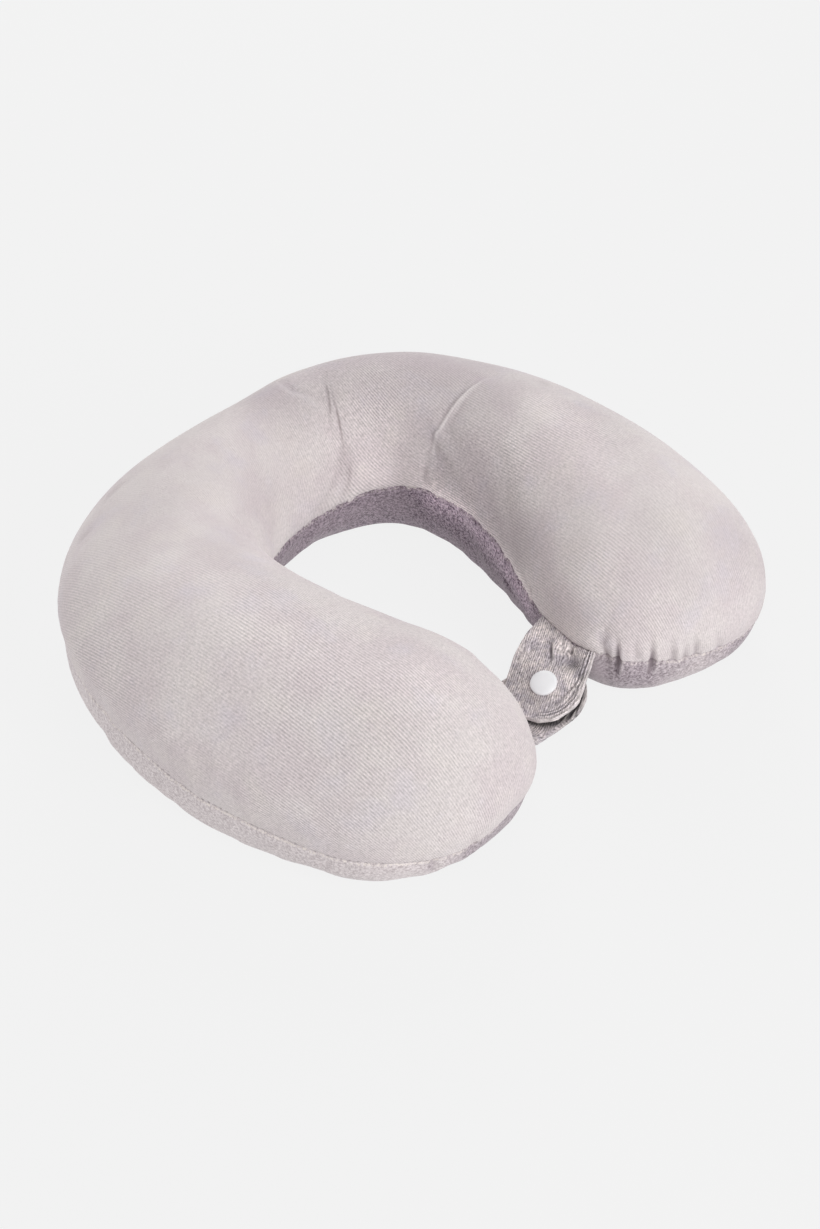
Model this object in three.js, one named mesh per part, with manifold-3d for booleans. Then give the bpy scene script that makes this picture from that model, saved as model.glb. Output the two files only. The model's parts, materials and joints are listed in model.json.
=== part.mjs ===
// Memory foam neck pillow: one U-shaped filled body in a velour cover, with two snap tabs over its mouth.
// Millimetres, +Z up. The pillow rests on its flat base at z = 0 and its mouth opens toward -Y. Left is -X
// and right is +X. Places are given from the middle of the back at x = 0, and the finished group is then
// moved so that its origin lies under the middle of its outer box.

import * as THREE from 'three';
import { mergeVertices } from 'three/addons/utils/BufferGeometryUtils.js';
import Module from 'manifold-3d';

const wasm = await Module();
wasm.setup();

// Rows of sizes under named columns.
function table(columns, rows) {
  return rows.map((row) => Object.fromEntries(columns.map((column, i) => [column, row[i]])));
}

// Middle line of the foam: one curve for each arm, from the middle of the back to the centre of the round
// tip. backPull and tipPull are how far the curve runs on in its end direction, and toeIn is the angle by
// which the arm turns in at its tip. tipLength and tipFullness shape the round end in plan.
const BACK_Y = 100.5;
const [LEFT_ARM, RIGHT_ARM] = table(
  ['side', 'tipX', 'tipY', 'backPull', 'tipPull', 'toeIn', 'tipLength', 'tipFullness'],
  [
    [-1, 81, -67, 108, 95.5, 24, 1.12, 1.65],
    [1, 81, -76.5, 102, 104.5, 20, 1, 2.55],
  ],
);

// Sections, evenly spaced along the middle line. The crown is the top of the ridge, lean moves the ridge
// toward the outer side by a share of the half width, and widest is the height of the fullest line. The two
// seam heights are where the crowned top panel meets the lower panel, and undercut is how far the lower wall
// draws in to the base.
const SECTIONS = table(
  ['place', 'halfWidth', 'crown', 'lean', 'widest', 'outerSeam', 'innerSeam', 'undercut'],
  [
    ['left tip', 59, 85.5, 0.05, 36.5, 25, 24, 15],
    ['left front', 55, 91.5, -0.04, 45.5, 30.5, 31, 9],
    ['left arm', 51.5, 87, -0.13, 49, 37.5, 36, 9.5],
    ['left shoulder', 45, 86, -0.08, 39, 33, 33, 16.5],
    ['back', 36, 83.5, -0.03, 32, 29, 27, 15.5],
    ['right shoulder', 41, 81.5, -0.01, 38.5, 26.5, 34.5, 18.5],
    ['right arm', 46.5, 81.5, -0.12, 43, 30, 38.5, 15.5],
    ['right front', 50.5, 86.5, -0.04, 41, 24, 39.5, 10],
    ['right tip', 55, 90.5, 0.06, 34, 19, 29.5, 14],
  ],
);

// Roundness of the crown over the fullest line, and the sunk line of the seam.
const CROWN_SHOULDER = 1.6;
const CROWN_FLANK = 1.65;
const SEAM_DEPTH = 1.8;
const SEAM_HALF_WIDTH = 3.4;

// Creases pressed into the crown, as seen from above: each bends from one end to the other.
const CREASES = table(
  ['name', 'fromX', 'fromY', 'bendX', 'bendY', 'toX', 'toY', 'width', 'depth'],
  [
    ['back fold', 43, 97, 32, 81, 24, 67, 4.5, 2.6],
    ['back fold twin', 38, 86, 30, 75, 25, 62, 4, 2],
    ['back fold tail', 46, 71, 22, 63, -4, 64, 5, 1.4],
    ['right lobe fold', 104, 33, 72, 42, 48, 29, 5.5, 2.4],
    ['left flank fold', -66, 97, -90, 99, -109, 99, 6, 1.6],
    ['left inner fold', -58, 56, -57, 51, -56, 44, 5, 1.2],
  ],
);
const CREASE_STEPS = 14;

// Tucks where the top panel is gathered into the seam round the tips, and the height over which they fade.
const TUCKS = table(
  ['name', 'x', 'y', 'width', 'depth'],
  [
    ['right inner tuck', 26, -101, 3.6, 2.6],
    ['right front tuck', 33, -112, 4, 2.8],
    ['right toe tuck', 43, -121, 4, 2.2],
    ['right outer tuck', 57, -129, 4.5, 1.8],
    ['left toe tuck', -36, -113, 4, 1.8],
    ['left outer tuck', -112, -107, 4.5, 1.6],
  ],
);
const TUCK_FADE = 20;

// Snap tabs: two layers of velour stitched face to face. The snap closes them near the middle of the mouth,
// and its axis leans toward -X because the upper tab slopes down from the right arm. The upper tab is pinched
// between its root and the snap, with one hollow and one low ridge along it, placed as shares of its width.
const TAB_WIDTH = 36;
const TAB_THICKNESS = 3.4;
const TAB_VEER = 20;
const SNAP_PLACE = new THREE.Vector3(3.4, -84.3, 18.6);
const SNAP_LEAN = 22;
const UPPER_ROOT_TO_SNAP = 34;
const UPPER_ROOT_TAPER = 7;
const LOWER_ROOT = new THREE.Vector3(-27.3, -76.7, 21);
const LOWER_DROP = new THREE.Vector3(11, -2, -22);
const LOWER_LEVEL_RUN = 15;
const PINCH = { hollowDepth: 1.2, hollowAt: 0.45, ridgeHeight: 0.72, ridgeAt: 0.05, width: 0.21, end: 0.78 };

// Snap parts: the visible cap, and the socket, stud and back cap that hide between and under the tabs.
const CAP_DIAMETER = 12.4;
const CAP_RIM = 0.9;
const CAP_DOME = 1.1;
const PIN_DIAMETER = 2.6;
const PIN_SEAT = 0.8;
const RING_DIAMETER = 10.4;
const SOCKET_HEIGHT = 2.6;
const SOCKET_BORE = 4.6;
const SOCKET_BORE_DEPTH = 1.4;
const STUD_FLANGE = 1.2;
const STUD_DIAMETER = 3.9;

// Clearance between touching pieces, mesh steps, and the distance under which corners are one.
const GAP = 0.3;
const LINE_STEPS = 50;
const TIP_STEPS = 20;
const WALL_STEPS = 3;
const CROWN_STEPS = 9;
const TAB_RUN_STEPS = 12;
const TAB_END_STEPS = 8;
const TAB_ACROSS_STEPS = 10;
const ROUND_STEPS = 24;
const DOME_STEPS = 6;
const SAME_PLACE = 0.001;

const X_AXIS = new THREE.Vector3(1, 0, 0);
const Y_AXIS = new THREE.Vector3(0, 1, 0);
const Z_AXIS = new THREE.Vector3(0, 0, 1);

const coverVelour = new THREE.MeshStandardMaterial({ color: '#d0c7c8', roughness: 0.95, metalness: 0 });
const tabVelour = new THREE.MeshStandardMaterial({ color: '#b8adaf', roughness: 0.95, metalness: 0 });
const snapPlastic = new THREE.MeshStandardMaterial({ color: '#e9e9eb', roughness: 0.35, metalness: 0 });

// A soft hollow's share of its depth at a distance from its middle.
function hollowShare(distance, width) {
  return Math.exp(-((distance / width) ** 2));
}

// Smooth value of one column of SECTIONS: along is 0 at the left tip, 0.5 at the back, 1 at the right tip.
function sectionCurve(column) {
  const curve = new THREE.SplineCurve(SECTIONS.map((section, i) => new THREE.Vector2(i, section[column])));
  return (along) => curve.getPoint(along).y;
}

const sizeAt = {
  halfWidth: sectionCurve('halfWidth'),
  crown: sectionCurve('crown'),
  lean: sectionCurve('lean'),
  widest: sectionCurve('widest'),
  outerSeam: sectionCurve('outerSeam'),
  innerSeam: sectionCurve('innerSeam'),
  undercut: sectionCurve('undercut'),
};

// Half of the middle line, from the back to one tip.
function armLine(arm) {
  const toe = THREE.MathUtils.degToRad(arm.toeIn);
  const back = new THREE.Vector2(0, BACK_Y);
  const tip = new THREE.Vector2(arm.side * arm.tipX, arm.tipY);
  const afterBack = back.clone().add(new THREE.Vector2(arm.side * arm.backPull, 0));
  const outward = new THREE.Vector2(arm.side * Math.sin(toe), Math.cos(toe));
  return new THREE.CubicBezierCurve(back, afterBack, tip.clone().addScaledVector(outward, arm.tipPull), tip);
}

// Points of the middle line from the left tip over the back to the right tip, with the side that faces out.
function middleLine() {
  const points = [];
  for (let i = -LINE_STEPS; i <= LINE_STEPS; i += 1) {
    const share = i / LINE_STEPS;
    const line = armLine(share < 0 ? LEFT_ARM : RIGHT_ARM);
    const ahead = line.getTangentAt(Math.abs(share)).multiplyScalar(share < 0 ? -1 : 1);
    points.push({
      at: line.getPointAt(Math.abs(share)),
      ahead,
      out: new THREE.Vector2(-ahead.y, ahead.x),
      along: (1 + share) / 2,
    });
  }
  return points;
}

// One column of the body's skin: its fullest point in plan, the ridge point it rises to, and its heights.
function skinColumn(point, fullest, seam) {
  const lean = sizeAt.lean(point.along) * sizeAt.halfWidth(point.along);
  return {
    fullest,
    ridge: point.at.clone().addScaledVector(point.out, lean),
    crown: sizeAt.crown(point.along),
    widest: sizeAt.widest(point.along),
    undercut: sizeAt.undercut(point.along),
    seam,
  };
}

// The columns of one long side: side is 1 for the outer side and -1 for the inner side.
function sideColumns(line, side, seamAt) {
  return line.map((point) => {
    const reach = side * sizeAt.halfWidth(point.along);
    return skinColumn(point, point.at.clone().addScaledVector(point.out, reach), seamAt(point.along));
  });
}

// Columns round a tip, from the outer side to the inner side.
function tipColumns(point, arm) {
  const columns = [];
  const halfWidth = sizeAt.halfWidth(point.along);
  const outerSeam = sizeAt.outerSeam(point.along);
  const innerSeam = sizeAt.innerSeam(point.along);
  const n = arm.tipFullness;
  for (let i = 1; i <= TIP_STEPS; i += 1) {
    const turn = (Math.PI * i) / (TIP_STEPS + 1);
    const across = Math.cos(turn);
    const forward = Math.sin(turn);
    const reach = halfWidth / (Math.abs(across) ** n + forward ** n) ** (1 / n);
    const fullest = point.at.clone()
      .addScaledVector(point.out, reach * across)
      .addScaledVector(point.ahead, arm.side * arm.tipLength * reach * forward);
    columns.push(skinColumn(point, fullest, THREE.MathUtils.lerp(innerSeam, outerSeam, (1 + across) / 2)));
  }
  return columns;
}

// The closed ring of columns: the outer side, the right tip, the inner side and the left tip.
function skinColumns() {
  const line = middleLine();
  const outer = sideColumns(line, 1, sizeAt.outerSeam);
  const inner = sideColumns(line, -1, sizeAt.innerSeam);
  const rightTip = tipColumns(line[line.length - 1], RIGHT_ARM);
  const leftTip = tipColumns(line[0], LEFT_ARM);
  return [...outer, ...rightTip, ...inner.reverse(), ...leftTip.reverse()];
}

// Depth of the creases at a point of the crown, as seen from above.
const creaseLines = CREASES.map((crease) => new THREE.QuadraticBezierCurve(
  new THREE.Vector2(crease.fromX, crease.fromY),
  new THREE.Vector2(crease.bendX, crease.bendY),
  new THREE.Vector2(crease.toX, crease.toY),
).getPoints(CREASE_STEPS));

function creaseDepth(plan) {
  return CREASES.reduce((depth, crease, i) => {
    const near = Math.min(...creaseLines[i].map((point) => point.distanceTo(plan)));
    return depth + crease.depth * hollowShare(near, crease.width);
  }, 0);
}

// Depth of the gathers: deepest at the seam, gone TUCK_FADE above or below it.
function tuckDepth(column, height) {
  const fade = Math.max(0, 1 - Math.abs(height - column.seam) / TUCK_FADE);
  return TUCKS.reduce((depth, tuck) => {
    const near = Math.hypot(column.fullest.x - tuck.x, column.fullest.y - tuck.y);
    return depth + tuck.depth * fade * hollowShare(near, tuck.width);
  }, 0);
}

// Skin points of one column: the middle of the base, the lower wall, the sunk seam and the crown.
function columnPoints(column) {
  const inward = column.ridge.clone().sub(column.fullest);
  const run = inward.length();
  inward.divideScalar(run);
  const place = (offset, height) => {
    const plan = column.fullest.clone().addScaledVector(inward, offset);
    return new THREE.Vector3(plan.x, plan.y, height);
  };
  const angleAt = (height) => Math.asin(1 - height / column.widest);
  const wallPoint = (angle, sunk) => {
    const height = column.widest * (1 - Math.sin(angle));
    const drawIn = column.undercut * (1 - Math.cos(angle));
    return place(drawIn + sunk + tuckDepth(column, height), height);
  };

  const points = [place(run, 0), place(column.undercut, 0)];
  const lowestAngle = Math.PI / 2;
  const seamEdgeAngle = angleAt(column.seam - SEAM_HALF_WIDTH);
  for (let i = 1; i <= WALL_STEPS; i += 1) {
    points.push(wallPoint(THREE.MathUtils.lerp(lowestAngle, seamEdgeAngle, i / WALL_STEPS), 0));
  }
  points.push(wallPoint(angleAt(column.seam), SEAM_DEPTH));
  points.push(wallPoint(angleAt(column.seam + SEAM_HALF_WIDTH), 0));
  for (let i = 0; i < CROWN_STEPS; i += 1) {
    const share = 1 - Math.cos((Math.PI / 2) * (i / CROWN_STEPS));
    const rise = (1 - (1 - share) ** CROWN_SHOULDER) ** (1 / CROWN_FLANK);
    const height = THREE.MathUtils.lerp(column.widest, column.crown, rise);
    const point = place(share * run + tuckDepth(column, height), height);
    const depth = creaseDepth(new THREE.Vector2(point.x, point.y));
    const steep = 1 - rise;
    point.x += inward.x * depth * steep;
    point.y += inward.y * depth * steep;
    point.z -= depth * (1 - steep * steep);
    points.push(point);
  }
  points.push(place(run, column.crown - creaseDepth(column.ridge)));
  return points;
}

function solidGeometry(corners, faces) {
  const geometry = new THREE.BufferGeometry();
  geometry.setAttribute('position', new THREE.Float32BufferAttribute(corners.flatMap((p) => p.toArray()), 3));
  geometry.setIndex(faces);
  return mergeVertices(geometry, SAME_PLACE);
}

// The two triangles of a four-sided face, without any that has no area.
function quadFaces(corners, a, b, c, d) {
  return [[a, b, c], [a, c, d]].filter(([p, q, r]) => {
    const triangle = new THREE.Triangle(corners[p], corners[q], corners[r]);
    return triangle.getArea() > SAME_PLACE ** 2;
  }).flat();
}

// A closed solid from a ring of columns that share their first and last points in pairs.
function ringSolid(columns) {
  const rows = columns[0].length;
  const corners = columns.flat();
  const faces = [];
  columns.forEach((column, i) => {
    const next = (i + 1) % columns.length;
    for (let row = 0; row < rows - 1; row += 1) {
      const a = i * rows + row;
      const b = next * rows + row;
      faces.push(...quadFaces(corners, a, a + 1, b + 1, b));
    }
  });
  return solidGeometry(corners, faces);
}

// Conversion between three.js geometry and the boolean library's solids.
function toManifold(geometry) {
  const bare = geometry.clone();
  bare.deleteAttribute('normal');
  bare.deleteAttribute('uv');
  const merged = mergeVertices(bare, SAME_PLACE);
  return new wasm.Manifold(new wasm.Mesh({
    numProp: 3,
    vertProperties: new Float32Array(merged.attributes.position.array),
    triVerts: new Uint32Array(merged.index.array),
  }));
}

function toGeometry(manifold) {
  const mesh = manifold.getMesh();
  const geometry = new THREE.BufferGeometry();
  geometry.setAttribute('position', new THREE.BufferAttribute(new Float32Array(mesh.vertProperties), 3));
  geometry.setIndex(new THREE.BufferAttribute(new Uint32Array(mesh.triVerts), 1));
  return geometry;
}

// The same body with its skin moved out by a clearance.
function grown(geometry, clearance) {
  const bigger = geometry.clone();
  bigger.computeVertexNormals();
  const { position, normal } = bigger.attributes;
  for (let i = 0; i < position.count; i += 1) {
    const corner = new THREE.Vector3().fromBufferAttribute(position, i);
    corner.addScaledVector(new THREE.Vector3().fromBufferAttribute(normal, i), clearance);
    position.setXYZ(i, corner.x, corner.y, corner.z);
  }
  return bigger;
}

// Axes at the snap: up is the snap's axis, along points down the upper tab to its end, across to its edge.
const snapUp = Z_AXIS.clone().applyAxisAngle(Y_AXIS, THREE.MathUtils.degToRad(-SNAP_LEAN));
const snapAlong = X_AXIS.clone().negate()
  .applyAxisAngle(Z_AXIS, THREE.MathUtils.degToRad(TAB_VEER))
  .projectOnPlane(snapUp)
  .normalize();
const lowerAhead = X_AXIS.clone()
  .applyAxisAngle(Z_AXIS, THREE.MathUtils.degToRad(-TAB_VEER))
  .projectOnPlane(snapUp)
  .normalize();
const tabSpacing = TAB_THICKNESS + SOCKET_HEIGHT + STUD_FLANGE + 3 * GAP;
const lowerSnap = SNAP_PLACE.clone().addScaledVector(snapUp, -tabSpacing);

// Rows across a tab: straight sides from its root, then a half-round end about the snap. line gives the
// middle of the tab from the root (0) to the snap (1), rootAcross is the way its root runs along the seam,
// and taper is how much its inner edge draws in at the root.
function tabRows(line, rootAcross, endAhead, taper) {
  const rows = [];
  const half = TAB_WIDTH / 2;
  const endAcross = new THREE.Vector3().crossVectors(snapUp, endAhead);
  for (let i = 0; i <= TAB_RUN_STEPS + TAB_END_STEPS; i += 1) {
    const share = Math.min(1, i / TAB_RUN_STEPS);
    const turn = (Math.PI / 2) * Math.max(0, (i - TAB_RUN_STEPS) / TAB_END_STEPS);
    const ahead = share < 1 ? line.getTangent(share) : endAhead;
    const across = rootAcross.clone().lerp(endAcross, share).projectOnPlane(ahead).normalize();
    rows.push({
      share,
      across,
      up: new THREE.Vector3().crossVectors(ahead, across).normalize(),
      centre: line.getPoint(share).addScaledVector(ahead, half * Math.sin(turn)),
      outerHalf: half * Math.cos(turn),
      innerHalf: half * Math.cos(turn) - taper * (1 - share) ** 3,
    });
  }
  return rows;
}

// A tab from its rows, with an upper and a lower face. pinch gives how far a point is pushed down.
function tabSolid(rows, pinch) {
  const corners = [];
  for (const level of [1, -1]) {
    for (const row of rows) {
      for (let j = 0; j <= TAB_ACROSS_STEPS; j += 1) {
        const sideways = -1 + (2 * j) / TAB_ACROSS_STEPS;
        const reach = sideways * (sideways < 0 ? row.innerHalf : row.outerHalf);
        const lift = (level * TAB_THICKNESS) / 2 - pinch(row.share, sideways);
        corners.push(row.centre.clone().addScaledVector(row.across, reach).addScaledVector(row.up, lift));
      }
    }
  }
  const faces = [];
  const wide = TAB_ACROSS_STEPS + 1;
  const layer = rows.length * wide;
  const addFace = (...quad) => faces.push(...quadFaces(corners, ...quad));
  for (let i = 0; i < rows.length - 1; i += 1) {
    for (let j = 0; j < TAB_ACROSS_STEPS; j += 1) {
      const a = i * wide + j;
      addFace(a, a + wide, a + wide + 1, a + 1);
      addFace(layer + a, layer + a + 1, layer + a + wide + 1, layer + a + wide);
    }
    const left = i * wide;
    const right = left + TAB_ACROSS_STEPS;
    addFace(left, layer + left, layer + left + wide, left + wide);
    addFace(right, right + wide, layer + right + wide, layer + right);
  }
  for (let j = 0; j < TAB_ACROSS_STEPS; j += 1) {
    addFace(j, j + 1, layer + j + 1, layer + j);
  }
  return toManifold(solidGeometry(corners, faces));
}

// The upper tab runs straight from the right arm's seam to the snap.
function upperTab() {
  const root = SNAP_PLACE.clone().addScaledVector(snapAlong, -UPPER_ROOT_TO_SNAP);
  const across = new THREE.Vector3().crossVectors(snapUp, snapAlong);
  const rows = tabRows(new THREE.LineCurve3(root, SNAP_PLACE), across, snapAlong, UPPER_ROOT_TAPER);
  return tabSolid(rows, (share, sideways) => {
    const nearRoot = Math.sin(Math.PI * Math.min(1, share / PINCH.end));
    const hollow = PINCH.hollowDepth * hollowShare(sideways - PINCH.hollowAt, PINCH.width);
    const ridge = PINCH.ridgeHeight * hollowShare(sideways - PINCH.ridgeAt, PINCH.width);
    return nearRoot * (hollow - ridge);
  });
}

// The lower tab drops from the left arm's seam, turns under the upper tab's end and rises to the snap.
function lowerTab() {
  const line = new THREE.CubicBezierCurve3(
    LOWER_ROOT,
    LOWER_ROOT.clone().add(LOWER_DROP),
    lowerSnap.clone().addScaledVector(lowerAhead, -LOWER_LEVEL_RUN),
    lowerSnap,
  );
  return tabSolid(tabRows(line, Y_AXIS, lowerAhead, 0), () => 0);
}

// A round piece about the snap's axis, from a profile of radius and height above a point on that axis.
function snapTurned(place, height, profile) {
  const points = profile.map(([radius, rise]) => new THREE.Vector2(radius, rise));
  const geometry = new THREE.LatheGeometry(points, ROUND_STEPS);
  geometry.applyQuaternion(new THREE.Quaternion().setFromUnitVectors(Y_AXIS, snapUp));
  const base = place.clone().addScaledVector(snapUp, height);
  return geometry.translate(base.x, base.y, base.z);
}

const capRadius = CAP_DIAMETER / 2;
const pinRadius = PIN_DIAMETER / 2;
const ringRadius = RING_DIAMETER / 2;
const tabFace = TAB_THICKNESS / 2 + GAP;
const pinLength = TAB_THICKNESS + GAP + PIN_SEAT;

// The way through both tabs for the snap's pins.
function pinHole() {
  const radius = pinRadius + GAP;
  const bottom = -tabSpacing - TAB_THICKNESS;
  return toManifold(snapTurned(SNAP_PLACE, 0, [
    [0, bottom],
    [radius, bottom],
    [radius, TAB_THICKNESS],
    [0, TAB_THICKNESS],
  ]));
}

// The domed cap on the upper tab, with its pin down through the cloth.
function snapCap() {
  const dome = [];
  for (let i = 0; i <= DOME_STEPS; i += 1) {
    const turn = (Math.PI / 2) * (i / DOME_STEPS);
    dome.push([capRadius * Math.cos(turn), CAP_RIM + CAP_DOME * Math.sin(turn)]);
  }
  dome[DOME_STEPS][0] = 0;
  return snapTurned(SNAP_PLACE, tabFace, [
    [0, -pinLength],
    [pinRadius, -pinLength],
    [pinRadius, 0],
    [capRadius, 0],
    ...dome,
  ]);
}

// The socket under the upper tab: a ring with a bore for the stud below and a seat for the cap's pin above.
function snapSocket() {
  return snapTurned(SNAP_PLACE, -tabFace - SOCKET_HEIGHT, [
    [0, SOCKET_BORE_DEPTH],
    [SOCKET_BORE / 2, SOCKET_BORE_DEPTH],
    [SOCKET_BORE / 2, 0],
    [ringRadius, 0],
    [ringRadius, SOCKET_HEIGHT],
    [pinRadius + GAP, SOCKET_HEIGHT],
    [pinRadius + GAP, SOCKET_HEIGHT - PIN_SEAT],
    [0, SOCKET_HEIGHT - PIN_SEAT],
  ]);
}

// The stud on the lower tab: a flange with a knob that enters the socket.
function snapStud() {
  const top = STUD_FLANGE + SOCKET_BORE_DEPTH;
  return snapTurned(lowerSnap, tabFace, [
    [0, PIN_SEAT],
    [pinRadius + GAP, PIN_SEAT],
    [pinRadius + GAP, 0],
    [ringRadius, 0],
    [ringRadius, STUD_FLANGE],
    [STUD_DIAMETER / 2, STUD_FLANGE],
    [STUD_DIAMETER / 2, top],
    [0, top],
  ]);
}

// The flat cap under the lower tab, with its pin up through the cloth into the stud.
function snapBackCap() {
  return snapTurned(lowerSnap, -tabFace, [
    [0, -CAP_RIM],
    [capRadius, -CAP_RIM],
    [capRadius, 0],
    [pinRadius, 0],
    [pinRadius, pinLength],
    [0, pinLength],
  ]);
}

// The body's skin trims both tabs where they are sewn into its seam.
const pillowSkin = ringSolid(skinColumns().map(columnPoints));
const trimmer = toManifold(grown(pillowSkin, GAP)).add(pinHole());

function trimmed(tab) {
  const pieces = tab.subtract(trimmer).decompose();
  return toGeometry(pieces.sort((a, b) => b.volume() - a.volume())[0]);
}

const pillow = new THREE.Group();

function addPiece(name, geometry, material) {
  const faceted = geometry.index ? geometry.toNonIndexed() : geometry;
  faceted.computeVertexNormals();
  const mesh = new THREE.Mesh(faceted, material);
  mesh.name = name;
  pillow.add(mesh);
}

addPiece('pillow', pillowSkin, coverVelour);
addPiece('tab_upper', trimmed(upperTab()), tabVelour);
addPiece('tab_lower', trimmed(lowerTab()), tabVelour);
addPiece('snap_cap', snapCap(), snapPlastic);
addPiece('snap_socket', snapSocket(), snapPlastic);
addPiece('snap_stud', snapStud(), snapPlastic);
addPiece('snap_back_cap', snapBackCap(), snapPlastic);

const middle = new THREE.Box3().setFromObject(pillow).getCenter(new THREE.Vector3());
pillow.position.set(-middle.x, -middle.y, 0);

export default pillow;
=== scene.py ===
import json
import math

import bmesh
import bpy
import numpy as np
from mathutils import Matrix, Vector, kdtree, noise
from mathutils.bvhtree import BVHTree

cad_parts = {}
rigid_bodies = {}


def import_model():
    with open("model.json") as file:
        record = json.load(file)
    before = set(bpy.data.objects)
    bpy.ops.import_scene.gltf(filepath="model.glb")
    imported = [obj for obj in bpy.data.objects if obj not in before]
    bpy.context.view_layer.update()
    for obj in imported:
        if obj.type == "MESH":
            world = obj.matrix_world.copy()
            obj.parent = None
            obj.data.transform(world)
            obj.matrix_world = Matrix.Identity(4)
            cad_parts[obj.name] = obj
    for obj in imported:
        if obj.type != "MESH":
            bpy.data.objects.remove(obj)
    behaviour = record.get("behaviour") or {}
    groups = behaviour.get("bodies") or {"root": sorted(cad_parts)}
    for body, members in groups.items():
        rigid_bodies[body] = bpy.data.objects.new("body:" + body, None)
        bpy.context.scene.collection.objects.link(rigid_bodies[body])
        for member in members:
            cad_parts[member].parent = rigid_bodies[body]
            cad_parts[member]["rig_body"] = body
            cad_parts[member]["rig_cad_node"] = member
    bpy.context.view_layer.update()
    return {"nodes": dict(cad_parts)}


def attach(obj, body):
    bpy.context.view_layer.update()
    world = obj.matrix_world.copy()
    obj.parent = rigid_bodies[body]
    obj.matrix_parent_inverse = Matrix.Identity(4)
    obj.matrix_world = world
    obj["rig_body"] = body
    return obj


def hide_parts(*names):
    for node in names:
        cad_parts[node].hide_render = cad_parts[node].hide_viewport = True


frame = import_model()

# The pillow's body.
# A U of memory foam in a fitted velour cover. The cover is a crowned top panel and a lower panel with the
# base, sewn together by one seam that runs round the outer side, the inner side and both tips.

MM = 0.001
SAME_CORNER = 0.00002
COVER_GRAIN = 0.0050
COVER_SMOOTHING = 2
# An edge of the seam lies in a valley of at least so many radians, rises by less than a share of its length,
# and is below the ceiling.
SEAM_VALLEY = 0.35
SEAM_LEVEL = 0.5
SEAM_CEILING = 0.05
SEAM_STEP = 0.001


def copy_of_node(node, name):
    """A new piece with the node's own shape, its corners joined, for cloth work."""
    bpy.ops.object.select_all(action="DESELECT")
    solid = frame["nodes"][node]
    solid.select_set(True)
    bpy.context.view_layer.objects.active = solid
    bpy.ops.object.duplicate()
    piece = bpy.context.object
    bpy.ops.object.parent_clear(type="CLEAR_KEEP_TRANSFORM")
    piece.name = name
    piece.data.name = name
    piece.data.materials.clear()
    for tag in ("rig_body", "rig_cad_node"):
        del piece[tag]
    bpy.ops.object.mode_set(mode="EDIT")
    bpy.ops.mesh.select_all(action="SELECT")
    bpy.ops.mesh.remove_doubles(threshold=SAME_CORNER)
    bpy.ops.object.mode_set(mode="OBJECT")
    return piece


def stitched_line(piece):
    """Points along the seam, one each SEAM_STEP: the longest run of level edges that lie in a valley."""
    shell = bmesh.new()
    shell.from_mesh(piece.data)
    beside = {}
    for edge in shell.edges:
        a, b = edge.verts
        level = abs(a.co.z - b.co.z) < SEAM_LEVEL * edge.calc_length()
        if level and max(a.co.z, b.co.z) < SEAM_CEILING and edge.calc_face_angle_signed() < -SEAM_VALLEY:
            beside.setdefault(a.index, []).append(b.index)
            beside.setdefault(b.index, []).append(a.index)
    longest = []
    passed = set()
    for corner in sorted(beside):
        run = []
        while corner is not None and corner not in passed:
            passed.add(corner)
            run.append(corner)
            corner = next((other for other in beside[corner] if other not in passed), None)
        longest = max(longest, run, key=len)
    shell.verts.ensure_lookup_table()
    chain = [shell.verts[i].co.copy() for i in longest]
    shell.free()
    points = []
    for here, there in zip(chain, chain[1:] + chain[:1]):
        steps = max(1, round((there - here).length / SEAM_STEP))
        points += [here.lerp(there, i / steps) for i in range(steps)]
    return points


def corner_places(piece):
    places = np.zeros(len(piece.data.vertices) * 3)
    piece.data.vertices.foreach_get("co", places)
    return places.reshape(-1, 3)


def corner_normals(piece):
    normals = np.zeros(len(piece.data.vertices) * 3)
    piece.data.vertices.foreach_get("normal", normals)
    return normals.reshape(-1, 3)


def move_corners(piece, places):
    piece.data.vertices.foreach_set("co", places.ravel())
    piece.data.update()


def averaged(piece, values, rounds):
    """The values of a piece's corners after each has met its neighbours' mean a number of times."""
    ends = np.zeros(len(piece.data.edges) * 2, int)
    piece.data.edges.foreach_get("vertices", ends)
    a, b = ends.reshape(-1, 2).T
    count = np.bincount(a, minlength=len(values)) + np.bincount(b, minlength=len(values))
    count = count.reshape((-1,) + (1,) * (values.ndim - 1))
    for _ in range(rounds):
        total = np.zeros_like(values)
        np.add.at(total, a, values[b])
        np.add.at(total, b, values[a])
        values = 0.5 * values + 0.5 * total / count
    return values


def nearest_finder(points):
    """A search tree that tells the place, number and distance of the point nearest to a place."""
    finder = kdtree.KDTree(len(points))
    for i, point in enumerate(points):
        finder.insert(point, i)
    finder.balance()
    return finder


cover = copy_of_node("pillow", "velour_cover")
seam_line = stitched_line(cover)
cover.data.remesh_voxel_size = COVER_GRAIN
cover.data.remesh_voxel_adaptivity = 0
bpy.ops.object.voxel_remesh()
move_corners(cover, averaged(cover, corner_places(cover), COVER_SMOOTHING))

# Places in millimetres where the seam hangs lower than the solid's line, with their reach and the drop.
SEAM_DROPS = [((-146, -20, 30), 45, 2.6), ((-97, -119, 25), 22, 4.2), ((-70, -128, 25), 18, 2.5)]

skin = BVHTree.FromObject(cover, bpy.context.evaluated_depsgraph_get())
for i, point in enumerate(seam_line):
    lower = Vector((0, 0, 0))
    for middle, reach, drop in SEAM_DROPS:
        lower.z += drop * MM * math.exp(-(((point / MM - Vector(middle)).length / reach) ** 2))
    seam_line[i] = skin.find_nearest(point - lower)[0]
seam_finder = nearest_finder(seam_line)

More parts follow.
